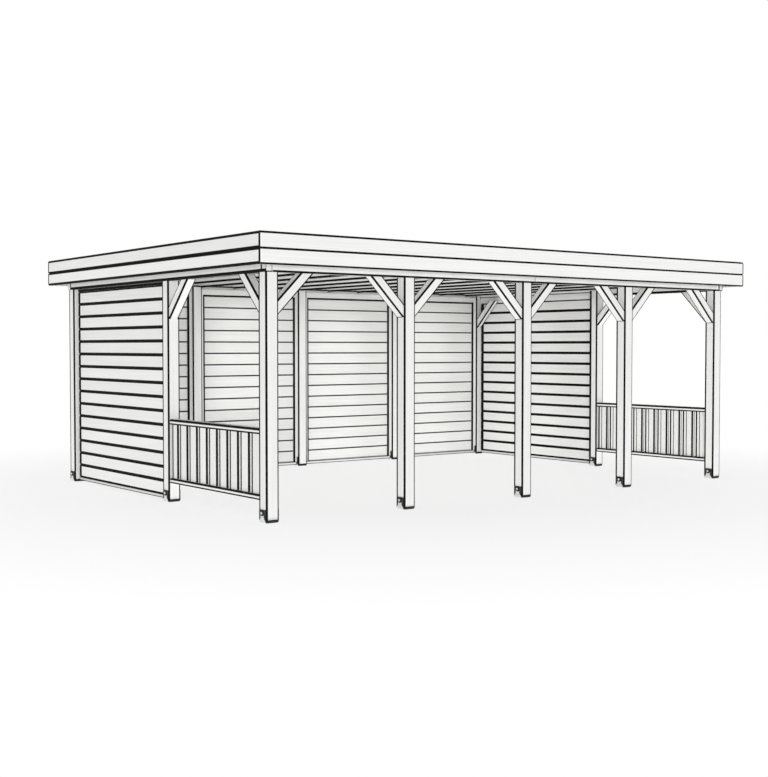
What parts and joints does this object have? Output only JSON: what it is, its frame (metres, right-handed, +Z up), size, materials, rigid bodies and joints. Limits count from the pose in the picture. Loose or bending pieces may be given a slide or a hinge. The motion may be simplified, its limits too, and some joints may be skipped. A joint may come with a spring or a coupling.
{
  "type": "patio cover",
  "caption": "Free-standing flat-roofed timber patio cover with posts on steel shoes, knee braces, boarded back and side panels, slatted balustrades and an open front.",
  "frame": {"origin": "on the ground, at the middle of the roof's plan", "axes": "+X along the length to the right seen from the open front, +Y towards the back wall, +Z up"},
  "size_m": [6.162, 4.38, 2.374],
  "materials": {
    "painted_frame": "white opaque paint on planed softwood",
    "painted_boards": "white opaque paint on tongued softwood boards",
    "painted_balustrade": "white opaque paint on softwood slats",
    "painted_fascia": "white opaque paint on planed softwood boards",
    "painted_rafters": "white opaque paint on planed softwood",
    "roof_deck": "white primed roof boards",
    "roof_covering": "dark mineral roofing felt",
    "steel_shoes": "black coated steel"
  },
  "bodies": {
    "root": {"front_post_1": "painted_frame", "front_post_2": "painted_frame", "front_post_3": "painted_frame", "front_post_4": "painted_frame", "front_post_5": "painted_frame", "back_post_1": "painted_frame", "back_post_2": "painted_frame", "back_post_3": "painted_frame", "back_post_4": "painted_frame", "back_post_5": "painted_frame", "left_middle_post": "painted_frame", "right_middle_post": "painted_frame", "front_shoes": "steel_shoes", "back_shoes": "steel_shoes", "middle_shoes": "steel_shoes", "front_beam_left": "painted_frame", "front_beam_right": "painted_frame", "back_beam_left": "painted_frame", "back_beam_right": "painted_frame", "left_beam": "painted_frame", "right_beam": "painted_frame", "front_braces": "painted_frame", "left_braces": "painted_frame", "right_braces": "painted_frame", "back_boards_1": "painted_boards", "back_boards_2": "painted_boards", "back_boards_3": "painted_boards", "back_boards_4": "painted_boards", "left_boards": "painted_boards", "right_boards": "painted_boards", "back_stiles": "painted_frame", "side_stiles": "painted_frame", "sills": "painted_frame", "top_rails": "painted_frame", "left_balustrade": "painted_balustrade", "right_balustrade": "painted_balustrade", "rafters": "painted_rafters", "verge_joists": "painted_rafters", "roof_deck": "roof_deck", "roof_covering": "roof_covering", "front_fascia": "painted_fascia", "back_fascia": "painted_fascia", "left_fascia": "painted_fascia", "right_fascia": "painted_fascia"}
  },
  "joints": []
}
